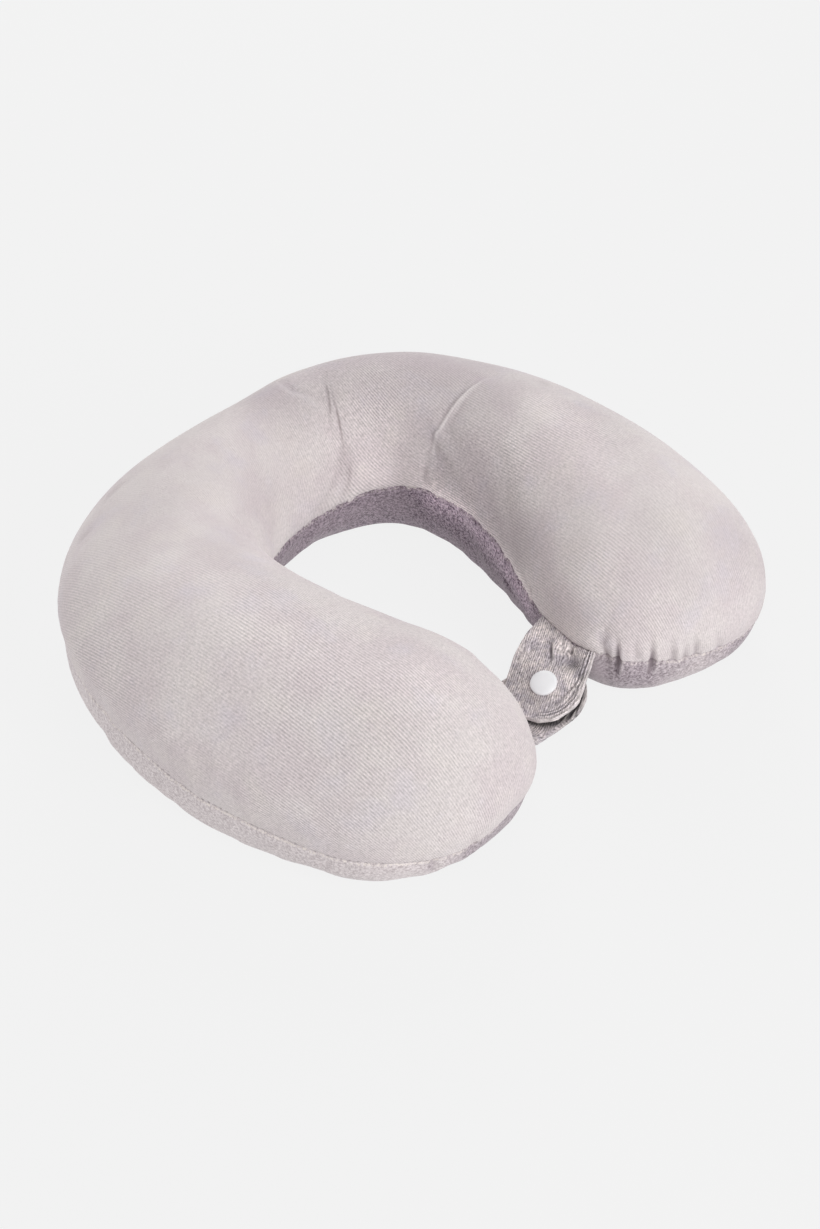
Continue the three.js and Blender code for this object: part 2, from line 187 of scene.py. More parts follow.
# The way up the skin at each point of the seam is square to the seam and to the way out of the pillow.
SEAM_LOOK = 6
SEAM_NEAR = 0.004
ring = np.array(seam_line)
seam_ahead = np.roll(ring, -SEAM_LOOK, axis=0) - np.roll(ring, SEAM_LOOK, axis=0)
seam_out = np.stack((seam_ahead[:, 1], -seam_ahead[:, 0], np.zeros(len(ring))), axis=1)
seam_up = np.cross(seam_out, seam_ahead)
seam_up *= np.sign(seam_up[:, 2:]) / np.linalg.norm(seam_up, axis=1)[:, None]


def height_over_seam(places):
    """How far each place lies over the seam, along the skin, and where along the seam."""
    over = np.zeros(len(places))
    along = np.zeros(len(places))
    for i, place in enumerate(places):
        _, index, distance = seam_finder.find(place)
        rise = seam_up[index] @ (place - ring[index])
        far = min(1.0, max(0.0, distance / SEAM_NEAR - 1))
        over[i] = (1 - far) * rise + far * math.copysign(distance, rise)
        along[i] = index * SEAM_STEP
    return over, along


# The seam and the base hold still, and the cloth between them, a little larger than its place, is blown from
# within so that it puckers. Only the puckers are kept, up to the cap.
CLOTH_FRAMES = 20
CLOTH_PRESSURE = 4.0
CLOTH_EXCESS = 0.012
SEWN_WIDTH = 0.0035
BASE_HEIGHT = 0.0012
WRINKLE_REACH = 24
WRINKLE_CAP = 0.0016

at_rest = corner_places(cover)
over, along = height_over_seam(at_rest)
sewn = cover.vertex_groups.new(name="sewn")
held = np.nonzero((abs(over) < SEWN_WIDTH) | (at_rest[:, 2] < BASE_HEIGHT))[0]
sewn.add(held.tolist(), 1.0, "REPLACE")
bpy.context.view_layer.objects.active = cover
bpy.ops.object.modifier_add(type="CLOTH")
blown = cover.modifiers[-1]
cloth = blown.settings
cloth.use_pressure = True
cloth.uniform_pressure_force = CLOTH_PRESSURE
cloth.effector_weights.gravity = 0
cloth.vertex_group_mass = "sewn"
cloth.shrink_min = -CLOTH_EXCESS
for step in range(1, CLOTH_FRAMES + 1):
    bpy.context.scene.frame_set(step)
bpy.ops.object.modifier_apply(modifier=blown.name)
bpy.context.scene.frame_set(1)
moved = corner_places(cover) - at_rest
wrinkles = moved - averaged(cover, moved, WRINKLE_REACH)
size = np.linalg.norm(wrinkles, axis=1)[:, None]
wrinkles *= np.minimum(1, WRINKLE_CAP / np.maximum(size, 1e-9))
move_corners(cover, at_rest + wrinkles)
cover.vertex_groups.clear()

# The two panels meet in corners on the seam itself, so that its line stays sharp.
SEAM_REACH = 0.55
SEAM_SPACING = 0.45


def settle_on_seam(piece):
    """Draws the nearest corners onto the seam, and cuts the squares that it crosses from corner to corner."""
    places = corner_places(piece)
    on_seam = np.zeros(len(places), bool)
    found = [seam_finder.find(place) for place in places]
    near = [i for i in range(len(places)) if found[i][2] < SEAM_REACH * COVER_GRAIN]
    for i in sorted(near, key=lambda i: found[i][2]):
        gaps = np.linalg.norm(places[on_seam] - np.array(found[i][0]), axis=1)
        if min(gaps, default=1) > SEAM_SPACING * COVER_GRAIN:
            places[i] = found[i][0]
            on_seam[i] = True
    move_corners(piece, places)
    over, _ = height_over_seam(places)
    shell = bmesh.new()
    shell.from_mesh(piece.data)
    for face in list(shell.faces):
        here = [k for k, corner in enumerate(face.verts) if on_seam[corner.index]]
        side = [over[corner.index] for corner in face.verts if not on_seam[corner.index]]
        if len(here) == 2 and here[1] - here[0] == 2 and min(side) < 0 < max(side):
            bmesh.utils.face_split(face, face.verts[here[0]], face.verts[here[1]])
    shell.to_mesh(piece.data)
    shell.free()


settle_on_seam(cover)

# Each panel was cut from flat velour with its ribs from front to back, and the arms then opened a little.
# The UV map holds where each corner lay on that flat cloth, in metres across the ribs and along them.
ARM_OPENING = math.radians(5)
ARM_REACH = 0.1
PANEL_SMOOTHING = 4
LEAST_SHARE = 0.05
SOLVER_ROUNDS = 500


def soft_normals(piece, rounds):
    normals = averaged(piece, corner_normals(piece), rounds)
    return normals / np.linalg.norm(normals, axis=1)[:, None]


def least_squares(first, second, rises, count):
    """The corner values whose rises along the edges come nearest to the wanted ones."""
    def pull(gap):
        return np.bincount(second, gap, count) - np.bincount(first, gap, count)

    values = np.zeros(count)
    left = pull(rises)
    way = left.copy()
    size = left @ left
    for _ in range(SOLVER_ROUNDS):
        pulled = pull(way[second] - way[first])
        step = size / max(way @ pulled, 1e-30)
        values += step * way
        left -= step * pulled
        fresh = left @ left
        way = left + way * fresh / max(size, 1e-30)
        size = fresh
    return values


def lay_flat(piece, faces, facing):
    """Puts the panel's faces into the UV map as they lay on the flat cloth, facing up or down."""
    places = corner_places(piece)
    normals = soft_normals(piece, PANEL_SMOOTHING)
    opened = ARM_OPENING * np.clip(-places[:, 0] / ARM_REACH, -1, 1)
    up = np.array((0, 0, facing))
    bend = np.cross(up, normals)
    share = np.maximum(1 + normals @ up, LEAST_SHARE)[:, None]
    edges = np.array(sorted({key for face in faces for key in face.edge_keys}))
    first, second = edges.T
    flat = []
    for turn in (opened, opened + math.pi / 2):
        way = np.stack((np.cos(turn), np.sin(turn), np.zeros(len(turn))), axis=1)
        tilted = np.cross(bend, way)
        way += tilted + np.cross(bend, tilted) / share
        rises = 0.5 * ((way[first] + way[second]) * (places[second] - places[first])).sum(axis=1)
        flat.append(least_squares(first, second, rises, len(places)))
    for face in faces:
        for corner, loop in zip(face.vertices, face.loop_indices):
            piece.data.uv_layers.active.data[loop].uv = (flat[0][corner], flat[1][corner])


cover.data.uv_layers.new(name="cloth")
over, _ = height_over_seam(corner_places(cover))
for facing in (1, -1):
    panel = [face for face in cover.data.polygons if facing * over[list(face.vertices)].sum() > 0]
    lay_flat(cover, panel, facing)

# Folds pressed into the cover, each along a few places on the skin in millimetres. A fold has a half width, a
# depth, a lift of the cloth on one side of it (1 is its left side, -1 its right side, seen from outside along
# the line), the height of a sharp crest on that side, and the share of its length at which it is deepest.
FOLD_STEP = 0.0005
LIFT_SPREAD = 0.008
# The crest's place and half width, in half widths of the fold, and how much painted highlight it gets for its
# height.
CREST_PLACE = 1.7
CREST_WIDTH = 0.6
CREST_HIGHLIGHT = 2
# A fold gets full painted shade from this depth in millimetres, unless it is wider than a narrow one.
FULL_SHADE_DEPTH = 2
NARROW_FOLD = 0.0016
DETAIL_REACHES = (0.0052, 0.0028)

FOLDS = [
    # the two thin creases of the left shoulder, and the soft hollows that run from them to the inner seam
    ([(49, 95, 80), (44, 88, 78), (39, 81, 73), (35, 76, 68), (31, 70, 57)], 0.7, 0.8, 0.3, 1, 0.2, 0.4),
    ([(46, 88, 79), (42, 81, 74), (38, 74, 68), (35, 69, 61), (32, 64, 52)], 0.7, 0.7, 0.4, 1, 0.3, 0.55),
    ([(35, 69, 61), (27, 64, 45), (19, 63, 38), (10, 63, 31), (-1, 63, 21)], 2.4, 0.9, 0.3, 1, 0, 0.4),
    ([(37, 66, 60), (30, 61, 42), (24, 62, 29), (19, 64, 15)], 2.0, 0.8, 0.3, 1, 0, 0.4),
    # the edge of the left lobe
    ([(33, 112, 74), (28, 96, 82), (32, 89, 80), (35, 84, 76), (36, 78, 70)], 1.8, 0.6, 0.8, -1, 0.2, 0.45),
    # the long raised fold of the right shoulder
    ([(110, 34, 76), (98, 35, 79), (84, 36, 77), (73, 36, 71), (63, 35, 62), (55, 31, 48)],
     1.2, 0.4, 0.7, 1, 0.9, 0.5),
    ([(95, 30, 80), (84, 31, 78), (74, 31, 73), (66, 30, 66)], 0.9, 0.3, 0.2, -1, 0.4, 0.5),
    ([(60, 36, 60), (55, 32, 44), (53, 33, 31)], 2.6, 0.7, 0.3, 1, 0, 0.4),
    # soft hollows on the left flank and shoulder
    ([(-82, 111, 66), (-80, 107, 70), (-75, 108, 71), (-64, 104, 77), (-57, 101, 80)],
     3.0, 0.7, 0.4, -1, 0, 0.3),
    ([(-103, 102, 60), (-99, 99, 65), (-92, 98, 71)], 2.6, 0.6, 0.3, -1, 0, 0.4),
    ([(-51, 57, 74), (-49, 53, 70), (-47, 49, 66)], 1.6, 0.3, 0.5, 1, 0.2, 0.5),
    # pulls beside the tab's root
    ([(37, -49, 40), (37, -52, 33), (35, -57, 26)], 1.1, 1.5, 0.5, -1, 0.2, 0.6),
    ([(46, -28, 34), (42, -38, 29), (39, -48, 25)], 1.4, 0.8, 0.4, 1, 0, 0.6),
    ([(48, -22, 27), (46, -32, 20), (42, -43, 16)], 1.4, 0.9, 0.4, 1, 0, 0.6),
    ([(44, -34, 41), (39, -45, 38), (37, -53, 30)], 1.6, 0.6, 0.4, -1, 0, 0.6),
    ([(127, 18, 72), (113, 10, 80), (102, 7, 83)], 3.6, 0.8, 0.4, 1, 0, 0.3),
    # gathers, where the top panel is eased into the seam round the right tip
    ([(32, -96, 45), (31, -99, 36), (32, -101, 25), (33, -100, 17)], 1.8, 1.3, 0.5, 1, 0, 0.6),
    ([(34, -103, 45), (33, -105, 38), (35, -105, 27), (35, -104, 14)], 1.3, 2.6, 0.8, 1, 0.3, 0.65),
    ([(39, -110, 46), (38, -112, 36), (40, -112, 26)], 1.9, 0.8, 0.4, 1, 0, 0.8),
    ([(44, -114, 47), (43, -117, 39), (45, -117, 24), (43, -115, 13)], 1.4, 2.0, 0.7, 1, 0.2, 0.68),
    ([(51, -120, 45), (51, -123, 34), (53, -123, 21)], 1.8, 1.2, 0.5, 1, 0, 0.78),
    ([(56, -124, 44), (57, -126, 32), (60, -126, 19)], 1.8, 1.2, 0.5, -1, 0, 0.78),
    ([(61, -126, 43), (62, -128, 33), (65, -128, 19)], 1.6, 1.1, 0.4, 1, 0, 0.78),
    ([(72, -131, 41), (73, -132, 31), (78, -132, 19)], 2.0, 0.9, 0.3, 1, 0, 0.78),
    # two small pulls under the seam of the left tip
    ([(-100, -120, 24), (-101, -119, 19), (-99, -115, 8)], 2.0, 1.0, 0.3, 1, 0, 0.4),
    ([(-89, -126, 34), (-85, -126, 20), (-84, -122, 9)], 2.0, 0.8, 0.3, 1, 0, 0.5),
]


def skin_line(skin, places):
    """A smooth line along the skin through places in millimetres, with its way ahead and its left side."""
    knots = [Vector(place) * MM for place in places]
    knots = [knots[0] * 2 - knots[1]] + knots + [knots[-1] * 2 - knots[-2]]
    line = []
    for a, b, c, d in zip(knots, knots[1:], knots[2:], knots[3:]):
        steps = max(2, round((c - b).length / FOLD_STEP))
        for t in np.arange(steps) / steps:
            bow = 2 * a - 5 * b + 4 * c - d
            curve = 0.5 * (2 * b + (c - a) * t + bow * t**2 + (3 * b - a - 3 * c + d) * t**3)
            line.append(skin.find_nearest(curve)[:2])
    ahead = [(there[0] - here[0]).normalized() for here, there in zip(line, line[1:])]
    return [(place, way, normal.cross(way)) for (place, normal), way in zip(line, ahead)]


def line_finder(line):
    return nearest_finder([place for place, _, _ in line])


skin = BVHTree.FromObject(cover, bpy.context.evaluated_depsgraph_get())
fold_lines = [skin_line(skin, fold[0]) for fold in FOLDS]
all_folds = line_finder([point for line in fold_lines for point in line])


def refine_near_detail(piece, reach):
    """Cuts the faces near the seam and the folds into four."""
    bpy.ops.object.select_all(action="DESELECT")
    piece.select_set(True)
    bpy.context.view_layer.objects.active = piece
    bpy.ops.object.mode_set(mode="EDIT")
    bpy.ops.mesh.select_mode(type="FACE")
    bpy.ops.mesh.select_all(action="DESELECT")
    bpy.ops.object.mode_set(mode="OBJECT")
    for face in piece.data.polygons:
        middle = face.center
        face.select = min(seam_finder.find(middle)[2], all_folds.find(middle)[2]) < reach
    bpy.ops.object.mode_set(mode="EDIT")
    bpy.ops.mesh.subdivide(number_cuts=1, smoothness=1.0)
    bpy.ops.object.mode_set(mode="OBJECT")


for reach in DETAIL_REACHES:
    refine_near_detail(cover, reach)
bpy.ops.object.modifier_add(type="SUBSURF")
cover.modifiers[-1].levels = 1
bpy.ops.object.modifier_apply(modifier=cover.modifiers[-1].name)


def eased(share):
    share = np.clip(share, 0, 1)
    return share * share * (3 - 2 * share)


def press_folds(piece, folds, lines):
    """Moves the skin in along each fold and out beside it, and returns the painted shade each corner gets,
    negative for a painted highlight on the crest.
    """
    places = corner_places(piece)
    push = np.zeros(len(places))
    fold_shade_and_highlight = np.zeros(len(places))
    for (_, width, depth, lift, side, crest, deepest), line in zip(folds, lines):
        finder = line_finder(line)
        width *= MM
        reach = 3 * LIFT_SPREAD
        low = np.min([place for place, _, _ in line], axis=0) - reach
        high = np.max([place for place, _, _ in line], axis=0) + reach
        for i in np.nonzero(((places > low) & (places < high)).all(axis=1))[0]:
            place, index, distance = finder.find(places[i])
            if distance > reach:
                continue
            share = index / (len(line) - 1)
            fade = eased(share / deepest) if share < deepest else eased((1 - share) / (1 - deepest))
            across = side * (Vector(places[i]) - place).dot(line[index][2])
            past_end = math.exp(-((max(0, distance**2 - across**2) ** 0.5 / (2 * width)) ** 2))
            valley = math.exp(-((across / width) ** 2))
            ridge = math.exp(-(((across - CREST_PLACE * width) / (CREST_WIDTH * width)) ** 2))
            rise = 0.5 + 0.5 * math.tanh(across / width - 1)
            rise *= math.exp(-max(0.0, across) / LIFT_SPREAD)
            push[i] += fade * past_end * MM * (lift * rise + crest * ridge - depth * valley)
            shaded = min(1.0, depth / FULL_SHADE_DEPTH) * min(1.0, NARROW_FOLD / width) * valley
            fold_shade_and_highlight[i] += fade * past_end * (shaded - CREST_HIGHLIGHT * crest * ridge)
    move_corners(piece, places + corner_normals(piece) * push[:, None])
    return fold_shade_and_highlight


fold_shade_and_highlight = press_folds(cover, FOLDS, fold_lines)

# The seam sinks the cloth, and its stitches, one every few millimetres, pucker it to both sides.
SEAM_SINK = 0.0005
SEAM_SINK_WIDTH = 0.0009
TOP_EDGE_LIFT = 0.0003
TOP_EDGE_RISE = 0.001
TOP_EDGE_SPREAD = 0.005
STITCH_LENGTH = 0.0031
STITCH_PIT = 0.0003
STITCH_PLACE = 0.0006
STITCH_WIDTH = 0.0008
PUCKER_SIZE = 0.0003
PUCKER_LENGTH = 0.0075
PUCKER_FADE = 0.007
PUCKER_END = 0.035
LOWER_PUCKER = 0.7
SWELL_SIZE = 0.0006
SWELL_LENGTH = 0.038
SWELL_RISE = 0.02
SWELL_SMOOTHING = 6

# Places in millimetres where the foam fills the cover more or less, with their reach and height.
FOAM_SWELLS = [
    ((-148, -26, 14), 26, 1.3),
    ((-138, -68, 14), 28, 1.3),
    ((-118, -104, 12), 20, 0.8),
    ((-70, -131, 12), 18, -3.0),
    ((-56, -128, 18), 15, -2.6),
    ((-60, -92, 77), 20, -1.0),
    ((44, -40, 12), 16, 1.2),
    ((94, 72, 77), 14, 0.8),
    ((115, 51, 73), 12, -0.7),
    ((36, 108, 76), 12, 0.8),
    ((8, 112, 76), 14, -0.6),
]


def uneven(place, length, seed):
    return noise.noise(Vector(place) / length + Vector((seed, 0, 0)))


places = corner_places(cover)
normals = soft_normals(cover, SWELL_SMOOTHING)
for middle, reach, height in FOAM_SWELLS:
    distance = np.linalg.norm(places - np.array(middle) * MM, axis=1) / (reach * MM)
    places += normals * (height * MM * np.exp(-distance[:, None] ** 2))
places[:, 2] = np.maximum(places[:, 2], 0)
move_corners(cover, places)
over, along = height_over_seam(corner_places(cover))
push = np.zeros(len(places))
for i, place in enumerate(places):
    height = over[i]
    if abs(height) < PUCKER_END:
        stitch = seam_line[int(along[i] / SEAM_STEP + 0.5) % len(seam_line)]
        near = (1 if height > 0 else LOWER_PUCKER) * math.exp(-abs(height) / PUCKER_FADE)
        push[i] += PUCKER_SIZE * near * uneven(stitch, PUCKER_LENGTH, 3)
        push[i] -= SEAM_SINK * math.exp(-((height / SEAM_SINK_WIDTH) ** 2))
        pit = 0.5 + 0.5 * math.cos(2 * math.pi * along[i] / STITCH_LENGTH)
        push[i] -= STITCH_PIT * pit * math.exp(-(((height - STITCH_PLACE) / STITCH_WIDTH) ** 2))
        edge = math.exp(-max(0.0, height) / TOP_EDGE_SPREAD)
        push[i] += TOP_EDGE_LIFT * eased(height / TOP_EDGE_RISE) * edge
    push[i] += SWELL_SIZE * eased(place[2] / SWELL_RISE) * uneven(place, SWELL_LENGTH, 11)
places += soft_normals(cover, 1) * push[:, None]
places[:, 2] = np.maximum(places[:, 2], 0)
move_corners(cover, places)

# The lower panel gets a darker tone, partly its pile lying the other way and partly painted shade: most on
# the inner wall, and less on the sides that face the front and beside the root of the upper tab.
HOLE_MIDDLE = np.array((-0.010, 0.010))
FRONT = np.array((0.6, -0.8))
FRONT_SHARE = 0.7
TAB_SIDE = np.array((0.040, -0.110, 0.015))
TAB_SIDE_REACH = 0.030
TAB_SIDE_SHARE = 0.75
SIDEWAYS_SMOOTHING = 12
NAP_AND_SHADE_SMOOTHING = 8

sideways = averaged(cover, corner_normals(cover), SIDEWAYS_SMOOTHING)[:, :2]
sideways /= np.maximum(np.linalg.norm(sideways, axis=1), 0.05)[:, None]
inward = HOLE_MIDDLE - places[:, :2]
inward /= np.linalg.norm(inward, axis=1)[:, None]
facing_in = eased(((sideways * inward).sum(axis=1) + 0.1) / 0.6)
facing_front = eased((sideways @ FRONT - 0.3) / 0.5)
by_the_tab = np.exp(-((np.linalg.norm(places - TAB_SIDE, axis=1) / TAB_SIDE_REACH) ** 2))
nap_and_shade = np.maximum(facing_in, np.maximum(FRONT_SHARE * facing_front, TAB_SIDE_SHARE * by_the_tab))
nap_and_shade = averaged(cover, nap_and_shade, NAP_AND_SHADE_SMOOTHING)

# Strokes along places in millimetres, each with its reach and how much lighter or darker the cloth looks
# there: partly pile brushed by a hand, partly painted shade on the sides that face away from the lamps and in
# the hole, a painted shadow beside the tab, and painted light on the lit fold of the inner wall.
BRUSH_AND_SHADE_STROKES = [
    ([(20, 96, 80), (31, 92, 81), (53, 86, 81), (72, 71, 80), (85, 50, 80), (90, 22, 81)], 17, -0.17),
    ([(60, 110, 60), (85, 85, 66), (110, 50, 66)], 16, -0.10),
    ([(64, 30, 64), (60, 3, 62), (53, -18, 54), (46, -34, 47)], 16, -0.22),
    ([(108, 45, 72), (126, 5, 66), (112, -35, 76)], 22, -0.05),
    ([(88, 10, 84), (80, -8, 85), (84, -30, 86)], 9, -0.05),
    ([(100, 0, 82), (98, -30, 84)], 8, 0.05),
    ([(-110, -60, 78), (-95, -90, 74)], 30, -0.025),
    ([(88, -108, 78), (98, -120, 65), (94, -124, 61)], 14, -0.04),
    ([(-66, 17, 79), (-25, 54, 38), (-9, 61, 35), (4, 64, 33)], 9, 0.07),
    ([(31, 60, 39), (38, 54, 43), (45, 49, 43)], 8, 0.09),
    ([(29, -92, 24), (30, -96, 18), (32, -99, 10)], 6, -0.28),
    ([(27, -86, 33), (30, -98, 34), (36, -110, 33), (47, -119, 30)], 9, 0.08),
    ([(88, -23, 85), (80, -48, 85), (67, -72, 83), (49, -83, 71), (37, -84, 58)], 10, 0.09),
    ([(67, -92, 82), (67, -110, 70), (65, -119, 59)], 12, -0.07),
    ([(-102, 35, 86), (-99, 6, 90), (-102, -45, 86), (-89, -66, 85), (-71, -87, 81)], 15, 0.07),
    ([(-120, -101, 50), (-109, -112, 48), (-88, -120, 54)], 13, -0.05),
    ([(-41, 77, 81), (-75, 69, 86)], 11, -0.06),
    ([(40, 68, 64), (41, 56, 51)], 12, 0.08),
    ([(56, 26, 35), (55, 4, 36), (52, -11, 33), (48, -26, 31), (43, -41, 28), (38, -50, 25)], 7, 0.85),
    ([(-12, 62, 18), (10, 64, 18), (30, 60, 20), (46, 45, 24)], 16, -0.22),
    ([(54, 10, 14), (48, -22, 13), (40, -45, 10)], 7, -0.15),
]

# Places in millimetres where the pile's grain is worn smooth, or stands rougher where the share is negative,
# with their reach and share.
SMOOTH_PLACES = [
    ((-60, 95, 80), 75, 0.70),
    ((-95, 20, 85), 40, 0.25),
    ((118, 10, 72), 50, 0.20),
    ((85, -90, 70), 45, 0.50),
    ((56, 5, 55), 34, -0.75),
    ((50, 80, 80), 38, -0.35),
]
STROKE_END = 2.5
GRAIN_RANGE = (0.2, 1.8)


def stroke_share(piece, places, reach):
    """How much of a stroke's effect each corner of the piece has."""
    finder = line_finder(skin_line(skin, places))
    corners = corner_places(piece)
    share = np.zeros(len(corners))
    low = np.min(places, axis=0) * MM - STROKE_END * reach
    high = np.max(places, axis=0) * MM + STROKE_END * reach
    for i in np.nonzero(((corners > low) & (corners < high)).all(axis=1))[0]:
        share[i] = math.exp(-((finder.find(corners[i])[2] / reach) ** 2))
    return share


brushed_and_shaded = sum(tone * stroke_share(cover, where, reach * MM) for where, reach, tone in BRUSH_AND_SHADE_STROKES)

smooth = np.zeros(len(places))
for middle, reach, share in SMOOTH_PLACES:
    distance = np.linalg.norm(places - np.array(middle) * MM, axis=1) / (reach * MM)
    smooth += share * np.exp(-distance**4)


def keep_on_corners(piece, name, values):
    attribute = piece.data.attributes.new(name, "FLOAT", "POINT")
    attribute.data.foreach_set("value", np.asarray(values, np.float32))


keep_on_corners(cover, "over_seam", over / MM)
keep_on_corners(cover, "along_seam", along / MM)
keep_on_corners(cover, "fold_shade_and_highlight", fold_shade_and_highlight)
keep_on_corners(cover, "nap_and_shade", nap_and_shade)
keep_on_corners(cover, "brushed_and_shaded", brushed_and_shaded)
keep_on_corners(cover, "grain", np.clip(1 - smooth, *GRAIN_RANGE))
bpy.ops.object.select_all(action="DESELECT")
cover.select_set(True)
bpy.context.view_layer.objects.active = cover
bpy.ops.object.shade_smooth()

# The velour: a short knitted pile with fine straight ribs, brushed into cloudy lighter and darker patches.
RIB_PITCH = 0.0012
PILE_HEIGHT = 0.0005
# The length, at scale 1, after which Blender's wave texture repeats.
WAVE_PERIOD = 0.314159


class Finish:
    """A material whose nodes are added one by one, each fed by sockets or by plain values."""

    def __init__(self, name):
        self.material = bpy.data.materials.new(name)
        self.material.use_nodes = True
        self.tree = self.material.node_tree
        self.shader = self.tree.nodes["Principled BSDF"]

    def feed(self, socket, value):
        if isinstance(value, bpy.types.NodeSocket):
            self.tree.links.new(value, socket)
        else:
            socket.default_value = value

    def node(self, kind, inputs=(), output=0, **settings):
        made = self.tree.nodes.new(kind)
        for name, value in settings.items():
            setattr(made, name, value)
        for key, value in dict(inputs).items():
            self.feed(made.inputs[key], value)
        return made.outputs[output]

    def place(self):
        return self.node("ShaderNodeTexCoord", output="Object")

    def cloth(self, scale=(1, 1, 1), seed=0.0):
        flat = self.node("ShaderNodeUVMap", uv_map="cloth")
        return self.node("ShaderNodeMapping", {"Vector": flat, "Location": (seed, 0, 0), "Scale": scale})

    def noise(self, size, detail=2.0, rough=0.5, seed=0.0, at=None):
        shifted = self.node("ShaderNodeMapping", {"Vector": at or self.place(), "Location": (seed, 0, 0)})
        return self.node(
            "ShaderNodeTexNoise",
            {"Vector": shifted, "Scale": 1 / size, "Detail": detail, "Roughness": rough},
        )

    def ribs(self, pitch, wander, way="X"):
        return self.node(
            "ShaderNodeTexWave",
            {"Vector": self.cloth(), "Scale": WAVE_PERIOD / pitch, "Distortion": wander, "Detail": 2.0},
            output="Fac",
            bands_direction=way,
        )

    def kept(self, name):
        return self.node("ShaderNodeAttribute", output="Fac", attribute_name=name)

    def math(self, operation, a, b=0.0, c=0.0):
        return self.node("ShaderNodeMath", {0: a, 1: b, 2: c}, operation=operation)

    def plus(self, a, b):
        return self.math("ADD", a, b)

    def times(self, a, b, more=None):
        """The product of a and b, and of more where a second factor is given."""
        product = self.math("MULTIPLY", a, b)
        return product if more is None else self.math("MULTIPLY", product, more)

    def range(self, value, low, high, to_low=0.0, to_high=1.0):
        return self.node(
            "ShaderNodeMapRange",
            {"Value": value, "From Min": low, "From Max": high, "To Min": to_low, "To Max": to_high},
        )

    def blend(self, share, a, b):
        return self.node("ShaderNodeMix", {0: share, 6: a, 7: b}, output=2, data_type="RGBA")

    def scaled(self, colour, factor):
        return self.node("ShaderNodeVectorMath", {0: colour, "Scale": factor}, operation="SCALE")

    def bump(self, height, distance, strength=1.0):
        return self.node("ShaderNodeBump", {"Height": height, "Distance": distance, "Strength": strength})

    def set(self, **values):
        for name, value in values.items():
            self.feed(self.shader.inputs[name.replace("_", " ").title().replace("Ior", "IOR")], value)


PILE_DARK = (0.600, 0.535, 0.545, 1)
PILE_LIGHT = (0.655, 0.602, 0.598, 1)
PILE_COOL = (0.600, 0.550, 0.590, 1)
PILE_WARM = (0.668, 0.612, 0.592, 1)
SHADE_MAUVE = (0.490, 0.412, 0.450, 1)
LOWER_DARK = (0.46, 0.40, 0.41, 1)
LOWER_LIGHT = (0.80, 0.735, 0.74, 1)
SHADED_LOWER_DARK = (0.050, 0.028, 0.050, 1)
SHADED_LOWER_LIGHT = (0.42, 0.345, 0.400, 1)
HOLE_DARK = (0.14, 0.11, 0.12, 1)
FLECK_LIGHT = (0.84, 0.77, 0.72, 1)
FOLD_SHADE = (0.25, 0.205, 0.225, 1)
CREST_HIGHLIGHT_TONE = (0.78, 0.73, 0.72, 1)
STITCH_TURN = 2 * math.pi * MM / STITCH_LENGTH

# The pile is the ribs, fainter in some broad places, with fine specks and dashes over them.
cover_velour = Finish("cover_velour")
dashes = cover_velour.noise(0.0009, detail=2, rough=0.7, at=cover_velour.cloth((1, 0.45, 1)))
specks = cover_velour.noise(0.0011, detail=3, rough=0.75, seed=9)
worn = cover_velour.range(cover_velour.noise(0.05, detail=2, seed=3), 0.40, 0.60, 0.14, 0.38)
ribs = cover_velour.math("SUBTRACT", cover_velour.ribs(RIB_PITCH, 1.2), 0.5)
ribs = cover_velour.times(ribs, worn)
pile = cover_velour.math("MULTIPLY_ADD", cover_velour.plus(specks, dashes), 0.7, 0.3)
pile = cover_velour.plus(ribs, pile)

# The top panel is cloudy from brushing, with cool and warm patches, and the lower one speckled.
clouds = cover_velour.noise(0.034, detail=4, rough=0.6)
top_nap = cover_velour.blend(cover_velour.range(clouds, 0.39, 0.61), PILE_DARK, PILE_LIGHT)
tints = cover_velour.noise(0.022, detail=3, rough=0.6, seed=5)
top_nap = cover_velour.blend(cover_velour.range(tints, 0.55, 0.70, 0, 0.5), top_nap, PILE_COOL)
top_nap = cover_velour.blend(cover_velour.range(tints, 0.45, 0.30, 0, 0.5), top_nap, PILE_WARM)
grain = cover_velour.times(cover_velour.math("SUBTRACT", pile, 1.0), 0.85)
grain = cover_velour.math("MULTIPLY_ADD", grain, cover_velour.kept("grain"), 1.0)
top_nap = cover_velour.scaled(top_nap, grain)
speckle = cover_velour.range(cover_velour.noise(0.0012, detail=3, rough=0.7, seed=12), 0.36, 0.64)
# The lower panel's painted shade, partly its pile lying the other way.
low_shaded = cover_velour.blend(speckle, SHADED_LOWER_DARK, SHADED_LOWER_LIGHT)
low_open = cover_velour.blend(speckle, LOWER_DARK, LOWER_LIGHT)
low_nap = cover_velour.blend(cover_velour.kept("nap_and_shade"), low_open, low_shaded)

# The panels meet in a tufty edge that wanders a little about the seam.
tufts = cover_velour.noise(0.0012, detail=2, rough=0.7, seed=2)
open_seam = cover_velour.range(cover_velour.kept("nap_and_shade"), 0.0, 1.0, 1.0, 0.3)
edge = cover_velour.math("SUBTRACT", tufts, 0.5)
edge = cover_velour.math("MULTIPLY_ADD", edge, 3.2, cover_velour.kept("over_seam"))
wander = cover_velour.range(cover_velour.noise(0.006, detail=1, seed=6), 0.30, 0.70, -0.8, 0.8)
edge = cover_velour.plus(edge, wander)
seam_off = cover_velour.math("MULTIPLY_ADD", wander, 0.5, cover_velour.kept("over_seam"))
colour = cover_velour.blend(cover_velour.range(edge, -0.30, 0.30), low_nap, top_nap)
# Painted shade and painted light along the strokes darken or lighten the cloth, with a mauve tint in the
# painted shade.
colour = cover_velour.scaled(colour, cover_velour.plus(cover_velour.kept("brushed_and_shaded"), 1.0))
mauve = cover_velour.range(cover_velour.kept("brushed_and_shaded"), -0.06, -0.26, 0.0, 0.85)
colour = cover_velour.blend(cover_velour.times(mauve, open_seam), colour, SHADE_MAUVE)

